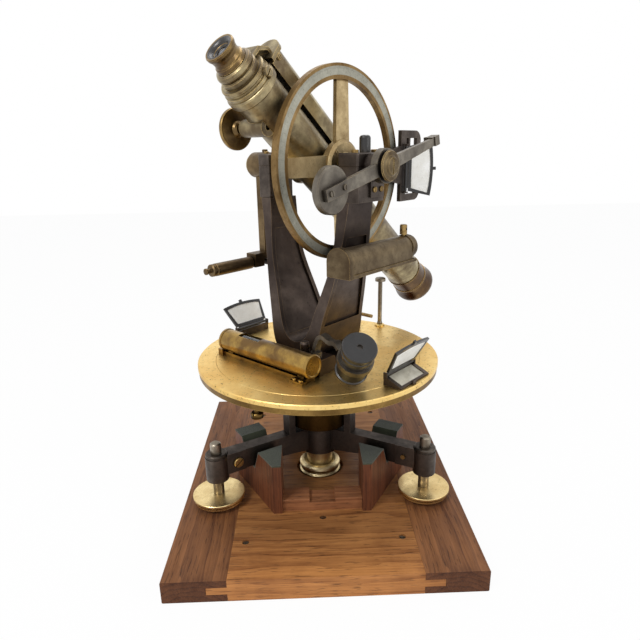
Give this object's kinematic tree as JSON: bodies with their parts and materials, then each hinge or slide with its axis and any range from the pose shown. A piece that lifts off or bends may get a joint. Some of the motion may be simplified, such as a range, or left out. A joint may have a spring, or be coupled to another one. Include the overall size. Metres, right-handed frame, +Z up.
{
  "type": "theodolite",
  "caption": "Antique brass transit theodolite with telescope, spirit levels, divided circles and levelling screws, resting on its wooden storage board.",
  "frame": {"origin": "middle of the storage board's underside, on the instrument's vertical axis", "axes": "+Z up along the vertical axis, -Y towards the front edge of the board, X across the board"},
  "size_m": [0.2927, 0.3464, 0.4582],
  "materials": {
    "panel_wood": "worn oil finish",
    "rail_wood": "worn oil finish",
    "cradle_wood": "worn oil finish",
    "baize": "worn cloth",
    "steel": "satin",
    "dark_bronze": "blackened, worn",
    "gunmetal": "blackened, worn",
    "lacquered_brass": "aged lacquer",
    "bright_brass": "worn polish",
    "tube_brass": "aged olive lacquer",
    "silver": "brushed, dulled",
    "black_enamel": "satin black",
    "white_card": "matt",
    "glass": "clear"
  },
  "bodies": {
    "base": {"board_panel": "panel_wood", "board_screws": "steel", "rail_left": "rail_wood", "rail_right": "rail_wood", "front_stop": "cradle_wood", "cradle_front_left": "cradle_wood", "cradle_front_right": "cradle_wood", "cradle_rear": "cradle_wood", "cradle_baize": "baize", "tribrach": "gunmetal", "foot_collars": "steel", "centre_spigot": "bright_brass", "foot_clamp_screws": "lacquered_brass"},
    "foot_screw_left": {"foot_shaft_left": "steel", "foot_disc_left": "bright_brass"},
    "foot_screw_right": {"foot_shaft_right": "steel", "foot_disc_right": "bright_brass"},
    "foot_screw_rear": {"foot_shaft_rear": "steel", "foot_disc_rear": "bright_brass"},
    "limb": {"limb_plate": "lacquered_brass"},
    "limb_clamp": {"limb_clamp_screw": "bright_brass"},
    "alidade": {"vernier_plate": "bright_brass", "window_frames": "gunmetal", "window_panes": "glass", "standard_frame": "dark_bronze", "bearing_right": "gunmetal", "bearing_left": "gunmetal", "alidade_fittings": "bright_brass", "plate_level_tube": "lacquered_brass", "plate_level_vial": "glass", "side_level_case": "tube_brass", "vernier_carrier": "gunmetal", "reader_cap": "lacquered_brass"},
    "upper_clamp": {"upper_clamp_screw": "steel"},
    "oil_cover": {"oil_cap": "black_enamel"},
    "plate_level_adjuster": {"plate_level_screw": "dark_bronze"},
    "side_level_adjuster": {"side_level_screw": "lacquered_brass"},
    "reflector_left": {"reflector_left_frame": "black_enamel", "reflector_left_panel": "white_card"},
    "reflector_right": {"reflector_right_frame": "black_enamel", "reflector_right_panel": "white_card"},
    "reflector_side": {"reflector_side_frame": "black_enamel", "reflector_side_panel": "white_card"},
    "magnifier_swing": {"magnifier_arm": "gunmetal"},
    "magnifier": {"magnifier_tube": "black_enamel"},
    "reader": {"reader_arm": "gunmetal", "reader_drum": "dark_bronze"},
    "clamp": {"clamp_arm": "dark_bronze"},
    "spring_plunger": {"spring_barrel": "dark_bronze"},
    "tangent": {"tangent_screw": "lacquered_brass"},
    "telescope": {"telescope_tube": "tube_brass", "trunnion_axle": "tube_brass", "vertical_circle": "lacquered_brass", "circle_limb": "silver", "tube_level": "tube_brass", "objective_cell": "lacquered_brass", "objective_lens": "glass"},
    "draw": {"eye_draw": "tube_brass"},
    "eye_lens": {"eyepiece": "lacquered_brass"},
    "focus": {"focus_knob": "lacquered_brass"}
  },
  "joints": [
    {"name": "foot_screw_left_turn", "type": "hinge", "parent": "base", "child": "foot_screw_left", "pos_m": [-0.10635, -0.0614, 0.05], "axis": [0, 0, 1], "range_deg": [-720, 720]},
    {"name": "foot_screw_right_turn", "type": "hinge", "parent": "base", "child": "foot_screw_right", "pos_m": [0.10635, -0.0614, 0.05], "axis": [0, 0, 1], "range_deg": [-720, 720]},
    {"name": "foot_screw_rear_turn", "type": "hinge", "parent": "base", "child": "foot_screw_rear", "pos_m": [0, 0.1228, 0.05], "axis": [0, 0, 1], "range_deg": [-720, 720]},
    {"name": "limb_turn", "type": "hinge", "parent": "base", "child": "limb", "pos_m": [0, 0, 0.15], "axis": [0, 0, 1], "continuous": true},
    {"name": "limb_clamp_turn", "type": "hinge", "parent": "limb", "child": "limb_clamp", "pos_m": [-0.05818, -0.10495, 0.14], "axis": [0, 0, 1], "range_deg": [-180, 180]},
    {"name": "alidade_turn", "type": "hinge", "parent": "limb", "child": "alidade", "pos_m": [0, 0, 0.16], "axis": [0, 0, 1], "continuous": true},
    {"name": "upper_clamp_turn", "type": "hinge", "parent": "alidade", "child": "upper_clamp", "pos_m": [0.07916, 0.08892, 0.19], "axis": [0, 0, 1], "range_deg": [-180, 180]},
    {"name": "oil_cap_turn", "type": "hinge", "parent": "alidade", "child": "oil_cover", "pos_m": [0.04471, -0.04222, 0.37], "axis": [0, 0, 1], "range_deg": [-360, 360]},
    {"name": "plate_level_screw_turn", "type": "hinge", "parent": "alidade", "child": "plate_level_adjuster", "pos_m": [-0.01343, -0.0499, 0.18], "axis": [0, 0, 1], "range_deg": [-180, 180]},
    {"name": "side_level_screw_turn", "type": "hinge", "parent": "alidade", "child": "side_level_adjuster", "pos_m": [0.08577, -0.01841, 0.29], "axis": [0, 0, 1], "range_deg": [-180, 180]},
    {"name": "reflector_left_fold", "type": "hinge", "parent": "alidade", "child": "reflector_left", "pos_m": [-0.07634, 0.07209, 0.1704], "axis": [0.6866, 0.7271, 0], "range_deg": [-52, 60]},
    {"name": "reflector_right_fold", "type": "hinge", "parent": "alidade", "child": "reflector_right", "pos_m": [0.07634, -0.07209, 0.1704], "axis": [0.6866, 0.7271, 0], "range_deg": [-40, 60]},
    {"name": "reflector_side_fold", "type": "hinge", "parent": "alidade", "child": "reflector_side", "pos_m": [0.09596, 0.03317, 0.3485], "axis": [0, 0, 1], "range_deg": [-35, 36]},
    {"name": "magnifier_arm_swing", "type": "hinge", "parent": "alidade", "child": "magnifier_swing", "pos_m": [-0.00266, -0.05525, 0.18], "axis": [0, 0, 1], "range_deg": [-12, 5]},
    {"name": "magnifier_focus", "type": "slide", "parent": "magnifier_swing", "child": "magnifier", "axis": [0.1352, -0.6029, 0.7863], "range_m": [-0.001, 0.005]},
    {"name": "reader_swing", "type": "hinge", "parent": "alidade", "child": "reader", "pos_m": [0.05962, -0.0563, 0.3546], "axis": [0.7271, -0.6866, 0], "range_deg": [-12, 12]},
    {"name": "clamp_rock", "type": "hinge", "parent": "alidade", "child": "clamp", "pos_m": [-0.05453, 0.05149, 0.3546], "axis": [0.7271, -0.6866, 0], "range_deg": [-0.8, 0.8]},
    {"name": "spring_plunger_slide", "type": "slide", "parent": "clamp", "child": "spring_plunger", "axis": [0.6866, 0.7271, 0], "range_m": [-0.0015, 0.0015]},
    {"name": "tangent_screw_turn", "type": "hinge", "parent": "clamp", "child": "tangent", "pos_m": [-0.03942, 0.06749, 0.2535], "axis": [0.6866, 0.7271, 0], "range_deg": [-720, 720]},
    {"name": "telescope_turn", "type": "hinge", "parent": "alidade", "child": "telescope", "pos_m": [0, 0, 0.3546], "axis": [0.7271, -0.6866, 0], "range_deg": [-0.4, 265]},
    {"name": "focus_turn", "type": "hinge", "parent": "telescope", "child": "focus", "pos_m": [-0.07148, -0.02981, 0.38778], "axis": [0.7271, -0.6866, 0], "range_deg": [0, 240]},
    {"name": "draw_slide", "type": "slide", "parent": "telescope", "child": "draw", "axis": [-0.5298, -0.561, 0.6361], "range_m": [0, 0.0113]},
    {"name": "eyepiece_slide", "type": "slide", "parent": "draw", "child": "eye_lens", "axis": [-0.5298, -0.561, 0.6361], "range_m": [0, 0.004]}
  ],
  "couplings": [
    {"joint": "focus_turn", "follows": "draw_slide", "rad_per_m": 370.37},
    {"joint": "clamp_rock", "follows": "tangent_screw_turn", "ratio": 0.0011},
    {"joint": "spring_plunger_slide", "follows": "tangent_screw_turn", "m_per_rad": -0.000111}
  ]
}
